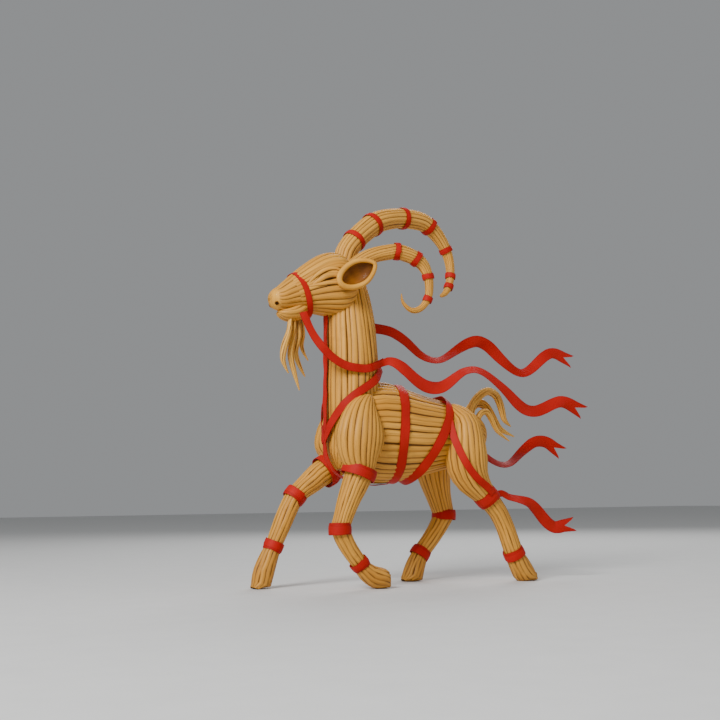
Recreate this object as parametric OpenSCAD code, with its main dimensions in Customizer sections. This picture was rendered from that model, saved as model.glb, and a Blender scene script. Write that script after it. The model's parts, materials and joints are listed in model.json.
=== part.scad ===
// Straw yule goat, trotting, bound and harnessed with red ribbon.
// Every limb is a bundle of rye straw round a bent wire. Ribbon bindings hold the bends.
// The goat faces -X and its left side is -Y. The floor is z = 0. Millimetres.

/* [Bundles] */
// Straight sides round a straw bundle
bundle_sides = 14; // [10:2:20]
// Rings between two neighbouring waypoints of a bundle
bundle_steps = 2; // [1:1:3]
// Extra thickness of the two shoulder bundles, sideways
shoulder_puff = 0; // [-2:1:3]

/* [Head] */
// How full the cheeks are: 1 is an oval section, and less is squarer
cheek_fullness = 0.85; // [0.75:0.05:1]
// Thickness of a rolled ear's wall
ear_wall = 2.4; // [2:0.2:3]

/* [Horns] */
// Straight sides round a horn
horn_sides = 12; // [10:2:16]
// Thickness of the thread ribbon on the horns
horn_tie_thickness = 0.9; // [0.5:0.1:1.2]
// Width of the bindings on the horns
horn_tie_width = 4.4; // [3:0.2:5]

/* [Ribbon] */
// Thickness of the doubled harness ribbon
ribbon_thickness = 1.2; // [0.8:0.1:1.6]
// Width of the harness ribbon round the trunk
girth_width = 8; // [6:0.5:9]
// How far the front girth's sides lie towards the shoulders
girth_front_bow = -7; // [-9:1:0]
// Width of the reins and breast straps
strap_width = 6.5; // [5:0.5:8]
// Thickness of the wound bindings on the legs
tie_thickness = 1.5; // [1:0.1:2]
// Thickness of a loose streamer
streamer_thickness = 0.8; // [0.6:0.1:1.2]

/* [Wire frame] */
// Radius of the steel wire inside the legs and horns
wire_radius = 1; // [0.8:0.1:1.4]
// Radius of the doubled wire along the back and neck
spine_radius = 1.6; // [1.2:0.1:2]

/* [Hidden] */
straw = "burlywood";
dark_straw = "peru";
red = "firebrick";
steel = "silver";
// How far the notch of a swallow tail lies past the last whole ring of a streamer.
notch_offset = 0.6;
// How far a binding bites into the straw.
tie_bite = 0.5;

// Waypoints are [x, y, z, half width sideways, half height], laid from one end to the other.
trunk_path = [[-104, 0, 134, 22, 29], [-92, 0, 135, 33, 41], [-70, 0, 135, 37, 46], [-40, 0, 133, 36, 41],
    [-12, 0, 133, 34, 34], [4, 0, 133, 30, 31], [19, 0, 131, 27, 28], [30, 0, 128, 23, 24],
    [37, 0, 125, 16, 17], [41, 0, 123, 7, 8]];
neck_path = [[-106, 0, 103, 8, 5], [-103, 0, 111, 16, 13], [-100, 0, 124, 21, 17], [-97, 0, 140, 25, 20],
    [-94, 0, 160, 27, 23], [-93, 0, 185, 25, 24], [-93, 0, 210, 23, 23], [-94, 0, 236, 20, 22],
    [-95, 0, 262, 14, 18], [-96, 0, 276, 11, 13]];
head_path = [[-170, 0, 249, 6.5, 6], [-167, 0, 249.5, 10, 9], [-162, 0, 250, 12, 11],
    [-156, 0, 252, 13, 13],
    [-143, 0, 257, 16, 18.5], [-128, 0, 262, 21.5, 24.5], [-116, 0, 265, 25, 28.5], [-106, 0, 267, 25, 28],
    [-99, 0, 268, 21, 24], [-95, 0, 269, 15, 17], [-92, 0, 270, 8, 9]];
jaw_path = [[-163, 0, 237.5, 6, 3], [-159, 0, 237, 9, 5.5], [-151, 0, 238, 11, 8], [-143, 0, 242, 11, 8.5],
    [-134, 0, 247, 8, 6]];
horn_right_path = [[-95, 11, 284, 10, 10], [-92, 12, 299, 10, 10], [-82, 13, 313, 10, 10],
    [-61, 16, 331, 10.5, 10.5],
    [-45, 18, 338, 10, 10], [-26, 21, 342, 9.5, 9.5], [-6, 23, 342, 9, 9], [5, 24, 338, 8, 8],
    [16, 25, 329, 6.8, 6.8], [25, 26, 317, 5.5, 5.5], [29, 26, 304, 4.6, 4.6], [29, 25, 291, 4.1, 4.1],
    [26, 24, 280, 3.6, 3.6], [21, 23, 273, 2.8, 2.8], [16, 22, 270, 1.6, 1.6]];
horn_left_path = [[-98, -8, 281, 6, 6], [-90, -10, 287, 6.8, 6.8], [-82, -12, 291.5, 7, 7],
    [-73, -14, 295, 7, 7],
    [-64, -17, 297, 7, 7], [-56, -20, 298, 7, 7], [-47, -22, 296, 7, 7], [-38, -24, 292, 6.4, 6.4],
    [-31, -25, 286, 5.6, 5.6], [-27, -26, 276, 4.4, 4.4], [-26, -26, 265, 3.8, 3.8],
    [-28, -26, 255, 3.4, 3.4],
    [-34, -25, 247, 2.9, 2.9], [-41, -24, 244, 2.6, 2.6], [-47, -23, 246, 2, 2], [-52, -22, 252, 1.3, 1.3],
    [-53, -22, 259, 0.4, 0.4]];
// The ears' waypoints give the depth of the cup and its half width.
ear_path = [[-107, -19, 263, 3, 3], [-103, -23, 270, 6, 8], [-97, -28, 275, 7, 10], [-90, -32, 278, 6, 8.5],
    [-84, -36, 279, 3, 3]];
shoulder_left_path = [[-90, -23, 163, 7, 6], [-96, -27, 154, 11, 13], [-100, -31, 143, 14, 19],
    [-102, -33, 131, 15, 22.5],
    [-103, -33, 121, 15, 21.5], [-103, -32, 112, 14, 18], [-102, -31, 104, 13, 14],
    [-103, -31, 98, 12.6, 12.6]];
shoulder_right_path = [[-84, 23, 163, 7, 6], [-88, 27, 154, 11, 13], [-91, 31, 143, 14, 18.5],
    [-92, 33, 131, 15, 21.5],
    [-93, 33, 121, 15, 21], [-95, 32, 112, 14, 17.5], [-100, 31, 105, 12.6, 13], [-104, 31, 102, 12, 12]];
forearm_left_path = [[-102, -31, 99, 12.2, 12.2], [-107, -30, 87, 11.2, 11.2], [-113, -30, 74, 9.6, 9.6],
    [-118, -30, 60, 8.2, 8.2], [-121, -30, 52, 8, 8]];
forearm_right_path = [[-103, 31, 103, 12, 12], [-112, 30, 98, 11.6, 11.6], [-121, 30, 91, 10.6, 10.6],
    [-129, 30, 85, 9.2, 9.2], [-136, 30, 79, 8.6, 8.6]];
fore_cannon_left_path = [[-121, -30, 52, 8, 8], [-117, -30, 42, 7.8, 7.8], [-110, -30, 31, 7.2, 7.2],
    [-102, -30, 21, 6.8, 6.8]];
fore_cannon_right_path = [[-135, 30, 80, 8.6, 8.6], [-141, 30, 70, 8.6, 8.6], [-149, 30, 53, 8.2, 8.2],
    [-157, 30, 35, 7.2, 7.2]];
fore_hoof_left_path = [[-103, -30, 22, 6.6, 6.6], [-97, -30, 15, 8, 8], [-89, -30, 10, 9, 9.4],
    [-81, -30, 8, 9, 9.6], [-75, -30, 8, 6.5, 7]];
fore_hoof_right_path = [[-156, 30, 37, 7, 7], [-161, 30, 26, 8.4, 8.4], [-166, 30, 13, 9.4, 9.6],
    [-168.5, 30, 1, 8.6, 8.6], [-168.5, 30, -4, 8, 8]];
haunch_left_path = [[0, -18, 158, 5, 5], [6, -23, 148, 13, 12], [7, -27, 137, 17, 16],
    [7, -28, 121, 18.5, 19.5],
    [8, -29, 106, 17.5, 20], [12, -30, 94, 14.5, 17], [20, -30, 84, 12, 12.5], [28, -30, 76, 9.6, 9.6]];
haunch_right_path = [[0, 18, 158, 5, 5], [6, 23, 148, 13, 12], [7, 27, 137, 17, 16], [7, 28, 121, 18.5, 19],
    [7, 29, 106, 17, 17.5], [9, 29, 92, 14, 15], [13, 29, 76, 11.5, 11.5], [18, 29, 60, 9.8, 9.8]];
hind_cannon_left_path = [[27, -30, 77, 9.6, 9.6], [38, -30, 65, 8.6, 8.6], [46, -30, 51, 8.2, 8.2],
    [51, -30, 38, 8.4, 8.4], [56, -30, 25, 8.4, 8.4]];
hind_cannon_right_path = [[18, 29, 61, 9.8, 9.8], [11, 29, 49, 8.6, 8.6], [1, 29, 36, 8, 8],
    [-9, 29, 25, 7.8, 7.8]];
hind_hoof_left_path = [[55, -30, 26, 8, 8], [60, -30, 17, 9.2, 9.8], [66, -30, 7, 9.6, 10.5],
    [69, -30, 1, 9, 10.5],
    [70, -30, -4, 8, 9]];
hind_hoof_right_path = [[-8, 29, 26, 7.6, 7.6], [-13, 29, 17, 9, 9], [-17, 29, 7, 9.6, 10],
    [-19, 29, 0, 9, 9.6],
    [-19, 29, -4, 8, 8.6]];

// Locks of loose straw in the beard and the tail, thin at the tip. They lie side by side and don't touch.
beard_locks = [
    [[-154, -3, 233, 3, 1.6], [-156, -5, 221, 3, 2.4], [-161, -7, 208, 3, 3], [-163, -8, 195, 2, 2.2],
        [-158, -8, 184, 0.5, 0.5]],
    [[-149.5, 0, 233, 3, 1.6], [-150, -1, 220, 3, 2.2], [-154, -3, 202, 3, 2.6],
        [-151, -4, 186, 2, 2.2], [-146, -4, 170, 0.5, 0.5]],
    [[-145, 2, 233, 3, 1.6], [-144, 2, 218, 3, 2], [-146.5, 3, 204, 2.4, 2.4], [-142, 4, 192, 1.8, 1.8],
        [-137, 4, 183, 0.5, 0.5]],
    [[-140.5, 4, 234, 3, 1.6], [-138, 6, 221, 2.6, 2], [-139, 7, 212, 2.2, 2],
        [-136.5, 8, 205, 1.4, 1.4], [-132, 8, 198, 0.5, 0.5]]];
tail_locks = [
    [[28, -4, 148, 3.4, 4], [31, -4.5, 161, 4, 4], [39, -5, 171, 4, 4], [49, -5, 176, 4, 4],
        [59, -5, 171, 3.8, 3.8],
        [64, -5, 159, 3.4, 3.4], [67, -5, 149, 2.4, 2.6], [74, -5, 143, 0.5, 0.5]],
    [[29, 4, 148, 3.4, 4], [34, 4.5, 158, 4, 4.5], [42, 5, 165, 4, 4.4], [52, 5, 163, 4, 4.2],
        [60, 4.5, 152, 3.6, 3.8],
        [68, 4, 141, 2.6, 2.8], [84, 4, 134, 0.5, 0.5]],
    [[35, -4, 145, 3, 3], [40, -4.5, 154, 3.2, 3], [47, -5, 156, 3.2, 3], [53, -5, 148, 2.8, 2.8],
        [59, -5, 138, 2, 2.2],
        [72, -5, 129, 0.5, 0.5]]];

// Loose streamers are [x, y, z, half width]. Each one starts at the binding it hangs on.
streamer_neck_right_path = [[-77, 21, 236, 4.5], [-56, 24, 234, 5], [-38, 25, 232, 5],
    [-22, 24, 223, 4.5], [-9, 23, 212, 4],
    [4, 22, 207, 3], [16, 22, 208, 3], [30, 23, 216, 4.5], [46, 25, 225, 6], [60, 26, 229, 6.5],
    [71, 26, 225, 6.5],
    [81, 25, 216, 6], [91, 23, 207, 5], [102, 22, 200, 4], [113, 22, 199, 4], [123, 23, 205, 5],
    [133, 24, 213, 6],
    [144, 25, 220, 6], [156, 25, 221, 5], [174, 24, 212, 6]];
streamer_neck_left_path = [[-72, -22, 197, 4.5], [-64, -26, 196, 4.5], [-54, -27, 190, 5],
    [-44, -27, 182, 5.5], [-34, -27, 176, 6],
    [-24, -27, 174, 6], [-14, -26, 176, 5.5], [-4, -25, 182, 5], [8, -25, 190, 4], [20, -26, 193, 3],
    [31, -27, 190, 3],
    [43, -28, 182, 3.5], [54, -29, 173, 4.5], [65, -29, 163, 5.5], [76, -28, 157, 5.5], [88, -27, 156, 5.5],
    [100, -26, 160, 6], [112, -26, 165, 6], [124, -27, 166, 6], [144, -28, 156, 7]];
streamer_haunch_right_path = [[27, 34, 122, 3], [40, 34, 122, 3], [54, 33, 121, 3], [66, 32, 118, 3],
    [74, 31, 113, 3], [83, 31, 109, 3],
    [92, 31, 108, 3], [101, 32, 111, 3.4], [110, 33, 118, 4.5], [119, 33, 125, 5.5], [130, 34, 131, 6],
    [142, 34, 132, 6],
    [152, 33, 127, 6], [162, 32, 118, 7]];
streamer_hock_left_path = [[43, -30, 81, 2.8], [50, -30, 77, 3], [57, -30, 75, 3.2], [66, -31, 73, 4],
    [75, -31, 70, 5], [83, -30, 64, 5.5],
    [91, -29, 56, 6], [98, -29, 50, 6], [107, -29, 47, 5.5], [116, -30, 50, 5], [125, -31, 55, 5.5]];

// Straps are [x, y, z, and the direction away from the straw].
rein_left_path = [[-147, -17, 233, 0, -1, 0], [-143, -20, 221, 0, -1, 0], [-137, -22, 211, -0.1, -1, 0],
    [-130, -23, 203, -0.2, -1, 0],
    [-121, -23, 196, -0.3, -1, 0], [-111, -24, 191, -0.3, -1, 0], [-101, -25.5, 189, -0.2, -1, 0],
    [-91, -25.8, 189, 0.1, -1, 0],
    [-82, -23.5, 192, 0.5, -1, 0], [-74, -20, 195.5, 0.9, -1, 0]];
rein_right_path = [[-147, 17.5, 249, 0, 1, 0], [-135, 21.5, 251, 0, 1, 0], [-122, 24.5, 251, 0, 1, 0],
    [-108, 25, 248, -0.1, 1, 0],
    [-96, 23, 241, -0.1, 1, 0], [-86, 19, 237, 0.5, 1, 0], [-79, 17.5, 236, 0.9, 1, 0]];
throat_strap_path = [[-116.5, 0, 236, -1, 0, 0], [-117, 0, 220, -1, 0, 0], [-117, 0, 200, -1, 0, 0],
    [-117.5, 0, 180, -1, 0, 0],
    [-118, 0, 160, -1, 0, 0], [-118, 0, 143, -1, 0, 0], [-118, 0, 129, -1, 0, 0]];
breast_arm_path = [[-73, 14, 189, 0.9, 1, 0.3], [-80, 22, 182, 0.6, 1, 0.2],
    [-89, 26.5, 175, 0.1, 1, 0.1], [-101, 26, 167, -0.3, 1, 0.1],
    [-110, 20.5, 158, -0.8, 1, 0], [-116, 11, 145, -1, 0.5, 0], [-118.5, 4.5, 134, -1, 0.2, 0],
    [-119.5, 1, 127, -1, 0, 0]];
chest_strap_path = [[-119, -0.5, 125, -1, 0, 0], [-118.5, -2, 115, -1, 0, -0.1],
    [-115.5, -4, 106, -1, 0, -0.6], [-110, -5, 99.5, -0.7, 0, -1],
    [-102, -5, 95, -0.3, 0, -1], [-90, -4, 92.5, -0.1, 0, -1], [-76, -3, 90, 0, 0, -1],
    [-64, -2, 90.5, 0, 0, -1]];
haunch_strap_left_path = [[-5, -15, 160.5, 0, -0.4, 1], [-8, -24, 152, -0.3, -1, 0.6],
    [-10, -31, 141, -0.6, -1, 0.2],
    [-9.5, -36.5, 129, -0.8, -1, 0], [-6.5, -42, 115, -0.6, -1, 0], [0, -44.5, 102, -0.4, -1, 0],
    [10, -44, 92, -0.2, -1, -0.3],
    [19, -42.5, 86, 0, -1, -0.2], [25, -41, 81, 0, -1, 0]];
haunch_strap_right_path = [[-5, 15, 160.5, 0, 0.4, 1], [-4, 29, 149, -0.5, 1, 0.5],
    [-1, 42, 137, -0.3, 1, 0.1], [8, 46.5, 129, 0, 1, 0],
    [18, 43.5, 125, 0.6, 1, 0], [25, 36.5, 122, 1, 0.6, 0]];

// Wires run through the middle of the bundles.
spine_wire_path = [[36, 0, 126], [10, 0, 132], [-30, 0, 132], [-70, 0, 134], [-88, 0, 150],
    [-93, 0, 175], [-93, 0, 210],
    [-94, 0, 240], [-98, 0, 262], [-115, 0, 266], [-140, 0, 257], [-160, 0, 251]];
fore_wire_left_path = [[-90, -23, 160], [-100, -31, 143], [-103, -33, 121], [-102, -31, 102],
    [-113, -30, 74], [-121, -30, 52],
    [-111, -30, 33], [-102, -30, 21], [-94, -30, 12]];
fore_wire_right_path = [[-84, 23, 160], [-89, 31, 143], [-91, 33, 121], [-102, 31, 104], [-121, 30, 91],
    [-136, 30, 79],
    [-149, 30, 53], [-157, 30, 35], [-163, 30, 20]];
hind_wire_left_path = [[6, -24, 146], [7, -28, 121], [12, -30, 95], [27, -30, 77], [46, -30, 51],
    [56, -30, 25], [63, -30, 12]];
hind_wire_right_path = [[6, 24, 146], [7, 28, 121], [9, 29, 92], [18, 29, 60], [1, 29, 36],
    [-9, 29, 25], [-15, 29, 11]];

function unit(v) = v / norm(v);
function place(p) = [p[0], p[1], p[2]];
function last(v) = v[len(v) - 1];

// A smooth curve through waypoints of any width: four neighbours shape each stretch.
function blend(a, b, c, d, t) = ((2 * b) + (c - a) * t + (2 * a - 5 * b + 4 * c - d) * t * t
    + (3 * b - a - 3 * c + d) * t * t * t) / 2;
function smooth(p, steps) = [for (i = [0 : len(p) - 2], s = [0 : steps - 1])
    blend(p[max(i - 1, 0)], p[i], p[i + 1], p[min(i + 2, len(p) - 1)], s / steps), last(p)];
function along(p, i) = unit(place(p[min(i + 1, len(p) - 1)]) - place(p[max(i - 1, 0)]));

// Sideways direction square to the run of a bundle, kept close to the goat's left and right.
function sideways(t) = unit([0, 1, 0] - t[1] * t);

// One closed skin over equal rings of points, laid from one end to the other.
// The far end is one face, or the faces given as loops of places in the last ring.
module skin(rings, end = []) {
    n = len(rings[0]);
    m = len(rings);
    walls = [for (j = [0 : m - 2], k = [0 : n - 1]) let (a = j * n + k, b = j * n + (k + 1) % n)
        each [[a, b, b + n], [a, b + n, a + n]]];
    start = [[for (k = [0 : n - 1]) n - 1 - k]];
    finish = len(end) == 0 ? [[for (k = [0 : n - 1]) (m - 1) * n + k]]
        : [for (f = end) [for (k = f) (m - 1) * n + k]];
    polyhedron([for (r = rings) each r], concat(walls, start, finish), convexity = 6);
}

// The same skin over a row of rings that meets itself.
module closed_skin(rings) {
    n = len(rings[0]);
    m = len(rings);
    polyhedron([for (r = rings) each r], [for (j = [0 : m - 1], k = [0 : n - 1])
        let (a = j * n + k, b = j * n + (k + 1) % n, c = ((j + 1) % m) * n)
        each [[a, b, c + (k + 1) % n], [a, c + (k + 1) % n, c + k]]], convexity = 6);
}

// A straw bundle of elliptical section that swells and tapers along its waypoints.
// A fullness under 1 makes the section squarer than an oval.
function full(v, fullness) = sign(v) * abs(v) ^ fullness;
module bundle(path, sides = bundle_sides, steps = bundle_steps, puff = 0, fullness = 1) {
    p = smooth(path, steps);
    skin([for (i = [0 : len(p) - 1]) let (t = along(p, i), s = sideways(t), u = cross(s, t))
        [for (k = [0 : sides - 1]) let (a = 360 * k / sides)
            place(p[i]) + s * (p[i][3] + puff) * full(cos(a), fullness)
                + u * p[i][4] * full(sin(a), fullness)]]);
}

// Round wire of one thickness through its waypoints.
module wire(path, radius, steps = 2) {
    bundle([for (p = path) [p[0], p[1], p[2], radius, radius]], sides = 8, steps = steps);
}

// Flat ribbon with its back on the waypoints and its face turned along each one's own direction.
module strap(path, width, thickness = ribbon_thickness, steps = 2) {
    p = smooth(path, steps);
    skin([for (i = [0 : len(p) - 1])
        let (t = along(p, i), d = [p[i][3], p[i][4], p[i][5]], f = unit(d - (d * t) * t), s = cross(t, f),
            c = place(p[i]))
        [c - s * width / 2, c + s * width / 2,
            c + s * width / 2 + f * thickness, c - s * width / 2 + f * thickness]]);
}

// Ribbon wound once round an ellipse. Its two half axes are given as vectors.
// Its sides can bow along the axis.
module hoop(centre, across, up, width, bow = 0, thickness = ribbon_thickness) {
    axis = unit(cross(across, up));
    closed_skin([for (k = [0 : 31])
        let (a = 360 * k / 32, c = centre + across * cos(a) + up * sin(a) + axis * bow * cos(a) ^ 2,
            f = unit(across * cos(a) / (across * across) + up * sin(a) / (up * up)))
        [c - axis * width / 2, c - axis * width / 2 + f * thickness, c + axis * width / 2 + f * thickness,
            c + axis * width / 2]]);
}

// Binding wound tightly round a bundle, with softened edges. It bites a little into the straw.
module tie(centre, run, radius, width, thickness = tie_thickness) {
    d = unit(run);
    edge = radius + thickness * 0.6;
    translate(centre) rotate([0, acos(d[2]), atan2(d[1], d[0])])
        rotate_extrude($fn = 48) polygon([[radius - tie_bite, -width / 2], [edge, -width / 2],
            [radius + thickness, -width * 0.36], [radius + thickness, width * 0.36],
            [edge, width / 2], [radius - tie_bite, width / 2]]);
}

// Bindings along a horn at the given waypoints, each as wide as the horn is there.
module horn_ties(path, at) {
    for (i = at)
        tie(place(path[i]), along(path, i), max(path[i][3], path[i][4]), horn_tie_width, horn_tie_thickness);
}

// Loose streamer: an upright strip of changing width whose free end is cut to a swallow tail.
function strip_ring(p, t, h, middle = undef) = let (f = sideways(t), s = cross(t, f), c = place(p), w = p[3],
    m = is_undef(middle) ? c : middle)
    [c - s * w - f * h, m - f * h, c + s * w - f * h, c + s * w + f * h, m + f * h, c - s * w + f * h];
module streamer(path, steps = 2) {
    p = smooth(path, steps);
    n = len(p) - 1;
    notch = place(p[n - 2]) + along(p, n - 2) * notch_offset;
    skin(concat([for (i = [0 : n - 2]) strip_ring(p[i], along(p, i), streamer_thickness / 2)],
        [strip_ring(p[n], along(p, n - 1), streamer_thickness / 2, notch)]), end = [[0, 1, 4, 5],
        [1, 2, 3, 4]]);
}

// Ear: a husk rolled to a cup that is open to the side, with a wall of one thickness.
// The wall thins at the pointed ends, and the inner face stands a little towards the opening.
function inset(reach, wall) = reach - min(wall, reach * 0.6);
module cup(path, wall, arc = 8, rim = 0.4) {
    p = smooth(path, 2);
    skin([for (i = [0 : len(p) - 1])
        let (t = along(p, i), s = sideways(t), u = cross(t, s), c = place(p[i]), w = p[i][4], d = p[i][3])
        concat([for (k = [0 : arc]) let (a = 180 * k / arc) c + u * w * cos(a) + s * d * sin(a)],
            [for (k = [arc : -1 : 0]) let (a = 180 * k / arc)
                c + u * inset(w, wall) * cos(a) + s * (inset(d, wall) * sin(a) - rim)])]);
}

// Hoof: cut straw ends, trimmed flat where they stand on the floor.
module hoof(path, room = 60) {
    intersection() {
        bundle(path, steps = 2);
        translate([path[2][0] - room, path[2][1] - room, 0]) cube([2 * room, 2 * room, room]);
    }
}

module mirrored(on) { if (on) mirror([0, 1, 0]) children(); else children(); }

module trunk() { color(straw) bundle(trunk_path, sides = 20); }
module neck() { color(straw) bundle(neck_path, sides = 18); }
module head() { color(straw) bundle(head_path, sides = 20, fullness = cheek_fullness); }
module lower_jaw() { color(straw) bundle(jaw_path); }
module ear(right = false) {
    color(straw) mirrored(right) cup(ear_path, ear_wall);
}
module horn_left() { color(straw) bundle(horn_left_path, sides = horn_sides); }
module horn_right() { color(straw) bundle(horn_right_path, sides = horn_sides); }
module beard() { color(dark_straw) for (lock = beard_locks) bundle(lock, sides = 8); }
module tail() { color(dark_straw) for (lock = tail_locks) bundle(lock, sides = 8); }
module shoulder_left() { color(straw) bundle(shoulder_left_path, puff = shoulder_puff); }
module shoulder_right() { color(straw) bundle(shoulder_right_path, puff = shoulder_puff); }
module forearm_left() { color(straw) bundle(forearm_left_path); }
module forearm_right() { color(straw) bundle(forearm_right_path); }
module fore_cannon_left() { color(straw) bundle(fore_cannon_left_path); }
module fore_cannon_right() { color(straw) bundle(fore_cannon_right_path); }
module fore_hoof_left() { color(dark_straw) hoof(fore_hoof_left_path); }
module fore_hoof_right() { color(dark_straw) hoof(fore_hoof_right_path); }
module haunch_left() { color(straw) bundle(haunch_left_path); }
module haunch_right() { color(straw) bundle(haunch_right_path); }
module hind_cannon_left() { color(straw) bundle(hind_cannon_left_path); }
module hind_cannon_right() { color(straw) bundle(hind_cannon_right_path); }
module hind_hoof_left() { color(dark_straw) hoof(hind_hoof_left_path); }
module hind_hoof_right() { color(dark_straw) hoof(hind_hoof_right_path); }

module horn_ties_left() { color(red) horn_ties(horn_left_path, [5, 7, 9, 11]); }
module horn_ties_right() { color(red) horn_ties(horn_right_path, [2, 3, 5, 7, 9, 11, 12]); }
module elbow_tie_left() { color(red) tie([-102.5, -31, 99], [-5, 1, -12], 12.4, 8); }
module elbow_tie_right() { color(red) tie([-104, 31, 102], [-9, 0, -5], 12, 8); }
module knee_tie_left() { color(red) tie([-121, -30, 51], [0, 0, -1], 8.2, 10); }
module knee_tie_right() { color(red) tie([-136, 30, 79], [-7, 0, -8], 8.8, 9); }
module fore_fetlock_tie_left() { color(red) tie([-102.5, -30, 21.5], [8, 0, -9], 6.8, 7.5); }
module fore_fetlock_tie_right() { color(red) tie([-156.5, 30, 36], [-7, 0, -15], 7.2, 8.5); }
module hock_tie_left() { color(red) tie([27.5, -30, 76.5], [8, 0, -8], 9.8, 11); }
module hock_tie_right() { color(red) tie([18, 29, 60.5], [-0.5, 0, -6], 9.8, 9.5); }
module hind_fetlock_tie_left() { color(red) tie([55.5, -30, 25.5], [5, 0, -10], 8.4, 8.5); }
module hind_fetlock_tie_right() { color(red) tie([-8.5, 29, 25.5], [-7, 0, -9], 7.8, 9); }

module noseband() { color(red) hoop([-144, 0, 255], [0, 16.3, 0], [-6.8, 0, 20.3], strap_width); }
module rein_left() { color(red) strap(rein_left_path, strap_width); }
module rein_right() { color(red) strap(rein_right_path, strap_width); }
module throat_strap() { color(red) strap(throat_strap_path, strap_width); }
module breast_strap_left() { color(red) mirror([0, 1, 0]) strap(breast_arm_path, strap_width); }
module breast_strap_right() { color(red) strap(breast_arm_path, strap_width); }
module chest_strap() { color(red) strap(chest_strap_path, strap_width); }
module girth_front() { color(red) hoop([-53.5, 0, 134], [0, 36.5, 0],
    [3.5, 0, 43], girth_width, girth_front_bow); }
module girth_rear() { color(red) hoop([-21.5, 0, 129], [0, 33.5, 0], [20.5, 0, 36.5], girth_width); }
module haunch_strap_left() { color(red) strap(haunch_strap_left_path, strap_width - 0.5); }
module haunch_strap_right() { color(red) strap(haunch_strap_right_path, strap_width - 0.5); }
module streamer_neck_left() { color(red) streamer(streamer_neck_left_path); }
module streamer_neck_right() { color(red) streamer(streamer_neck_right_path); }
module streamer_haunch_right() { color(red) streamer(streamer_haunch_right_path); }
module streamer_hock_left() { color(red) streamer(streamer_hock_left_path); }

module spine_wire() { color(steel) wire(spine_wire_path, spine_radius); }
module fore_wire_left() { color(steel) wire(fore_wire_left_path, wire_radius); }
module fore_wire_right() { color(steel) wire(fore_wire_right_path, wire_radius); }
module hind_wire_left() { color(steel) wire(hind_wire_left_path, wire_radius); }
module hind_wire_right() { color(steel) wire(hind_wire_right_path, wire_radius); }
module horn_wire_left() { color(steel) wire([for (i = [0 : 11]) horn_left_path[i]], wire_radius, steps = 1); }
module horn_wire_right() { color(steel) wire([for (i = [0 : 12]) horn_right_path[i]], wire_radius, steps = 1); }

trunk();
neck();
head();
lower_jaw();
ear();  // ear_left
ear(right = true);  // ear_right
horn_left();
horn_right();
beard();
tail();
shoulder_left();
shoulder_right();
forearm_left();
forearm_right();
fore_cannon_left();
fore_cannon_right();
fore_hoof_left();
fore_hoof_right();
haunch_left();
haunch_right();
hind_cannon_left();
hind_cannon_right();
hind_hoof_left();
hind_hoof_right();
horn_ties_left();
horn_ties_right();
elbow_tie_left();
elbow_tie_right();
knee_tie_left();
knee_tie_right();
fore_fetlock_tie_left();
fore_fetlock_tie_right();
hock_tie_left();
hock_tie_right();
hind_fetlock_tie_left();
hind_fetlock_tie_right();
noseband();
rein_left();
rein_right();
throat_strap();
breast_strap_left();
breast_strap_right();
chest_strap();
girth_front();
girth_rear();
haunch_strap_left();
haunch_strap_right();
streamer_neck_left();
streamer_neck_right();
streamer_haunch_right();
streamer_hock_left();
spine_wire();
fore_wire_left();
fore_wire_right();
hind_wire_left();
hind_wire_right();
horn_wire_left();
horn_wire_right();
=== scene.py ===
# %% [markdown]
# # A straw yule goat, straw by straw
# The goat is made the way a straw weaver makes it. Bundles of rye straw are laid along bent wires,
# bound tight with red ribbon at every bend, and harnessed with more ribbon whose ends fly free.
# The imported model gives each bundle's place and size. Here each one becomes the straws it is made of.

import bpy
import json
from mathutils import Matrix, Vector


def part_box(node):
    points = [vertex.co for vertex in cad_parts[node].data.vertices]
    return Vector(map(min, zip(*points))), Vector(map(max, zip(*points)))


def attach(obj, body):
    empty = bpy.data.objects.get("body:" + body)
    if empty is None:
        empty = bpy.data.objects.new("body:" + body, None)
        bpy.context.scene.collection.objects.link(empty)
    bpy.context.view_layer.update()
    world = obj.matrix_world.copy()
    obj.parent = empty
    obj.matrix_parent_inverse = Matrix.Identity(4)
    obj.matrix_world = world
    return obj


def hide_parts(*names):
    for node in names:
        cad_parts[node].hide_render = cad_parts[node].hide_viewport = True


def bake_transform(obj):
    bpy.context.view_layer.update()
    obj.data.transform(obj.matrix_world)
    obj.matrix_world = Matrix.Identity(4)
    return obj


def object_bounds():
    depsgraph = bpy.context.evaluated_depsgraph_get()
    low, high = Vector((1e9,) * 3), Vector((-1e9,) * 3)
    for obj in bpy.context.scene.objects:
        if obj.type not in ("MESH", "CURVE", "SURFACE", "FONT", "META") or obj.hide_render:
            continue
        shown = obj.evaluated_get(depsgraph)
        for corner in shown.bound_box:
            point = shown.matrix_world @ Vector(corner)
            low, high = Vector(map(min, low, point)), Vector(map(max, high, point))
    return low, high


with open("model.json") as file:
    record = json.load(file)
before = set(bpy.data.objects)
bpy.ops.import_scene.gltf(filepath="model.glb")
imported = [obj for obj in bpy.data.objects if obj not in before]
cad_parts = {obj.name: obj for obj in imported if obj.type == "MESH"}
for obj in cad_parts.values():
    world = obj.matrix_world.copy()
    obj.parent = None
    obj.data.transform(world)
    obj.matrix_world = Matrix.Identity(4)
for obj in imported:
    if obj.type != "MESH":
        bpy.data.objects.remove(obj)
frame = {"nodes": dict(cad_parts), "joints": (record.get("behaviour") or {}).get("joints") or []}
cad_low, cad_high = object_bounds()
print("the packed model is", [round(v, 4) for v in cad_high - cad_low], "metres")

# %% Tools
import json
import math

import bmesh
import bpy
import numpy as np
from mathutils import Quaternion, Vector

MM = 0.001
ROUND = 6.28  # a full turn in radians, near enough for waves
chance = np.random.RandomState(24)


def select_nothing():
    """An operator acts on all that is selected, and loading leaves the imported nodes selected."""
    bpy.ops.object.select_all(action="DESELECT")


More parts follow.
